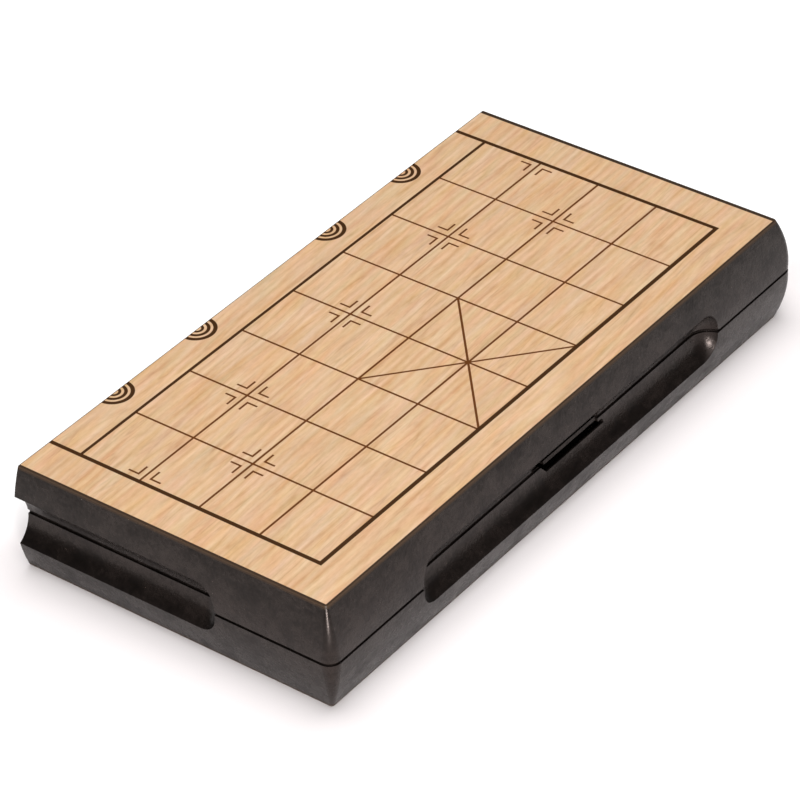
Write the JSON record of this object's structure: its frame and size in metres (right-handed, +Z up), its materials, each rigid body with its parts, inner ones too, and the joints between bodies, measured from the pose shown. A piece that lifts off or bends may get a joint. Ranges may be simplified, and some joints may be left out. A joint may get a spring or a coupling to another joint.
{
  "type": "folding board game case",
  "caption": "Folding travel case for a grid board game: two hinged shells with half of the playing grid on each outer face, finger grooves, a press latch and trays of disc pieces inside.",
  "frame": {"origin": "middle of the closed case's underside, on the surface it lies on", "axes": "+X along the long side, +Y towards the hinge, +Z up through the thickness; the latch looks towards -Y"},
  "size_m": [0.2552, 0.1298, 0.0396],
  "materials": {
    "shell_black": "satin moulded black plastic",
    "panel_woodgrain": "satin printed wood-grain sheet with dark brown grid lines and a narrow dark edge",
    "sheet_steel": "plain rolled sheet",
    "pin_steel": "drawn wire",
    "foam_grey": "closed-cell foam",
    "magnet": "sintered ferrite",
    "piece_red": "satin plastic with red filled marks",
    "piece_black": "satin plastic with black filled marks"
  },
  "bodies": {
    "lower_half": {"lower_shell": "shell_black", "lower_steel_sheet": "sheet_steel", "lower_playing_panel": "panel_woodgrain", "hinge_pin_left": "pin_steel", "hinge_pin_right": "pin_steel", "latch_pivot_pin": "pin_steel", "latch_leaf_spring": "pin_steel", "lower_foam_tray": "foam_grey", "black_piece_magnets": "magnet", "black_general": "piece_black", "black_advisors": "piece_black", "black_elephants": "piece_black", "black_horses": "piece_black", "black_chariots": "piece_black", "black_cannons": "piece_black", "black_soldiers": "piece_black"},
    "latch": {"latch_lever": "shell_black"},
    "upper_half": {"upper_shell": "shell_black", "upper_steel_sheet": "sheet_steel", "upper_playing_panel": "panel_woodgrain", "upper_foam_tray": "foam_grey", "red_piece_magnets": "magnet", "red_general": "piece_red", "red_advisors": "piece_red", "red_elephants": "piece_red", "red_horses": "piece_red", "red_chariots": "piece_red", "red_cannons": "piece_red", "red_soldiers": "piece_red"}
  },
  "joints": [
    {"name": "lid_hinge", "type": "hinge", "parent": "lower_half", "child": "upper_half", "pos_m": [0, 0.0623, 0.0198], "axis": [-1, 0, 0], "range_deg": [0, 180]},
    {"name": "latch_press", "type": "hinge", "parent": "lower_half", "child": "latch", "pos_m": [0, -0.0536, 0.0078], "axis": [-1, 0, 0], "range_deg": [0, 8], "stiffness_Nm_per_rad": 0.02, "springref_deg": -11.46}
  ]
}
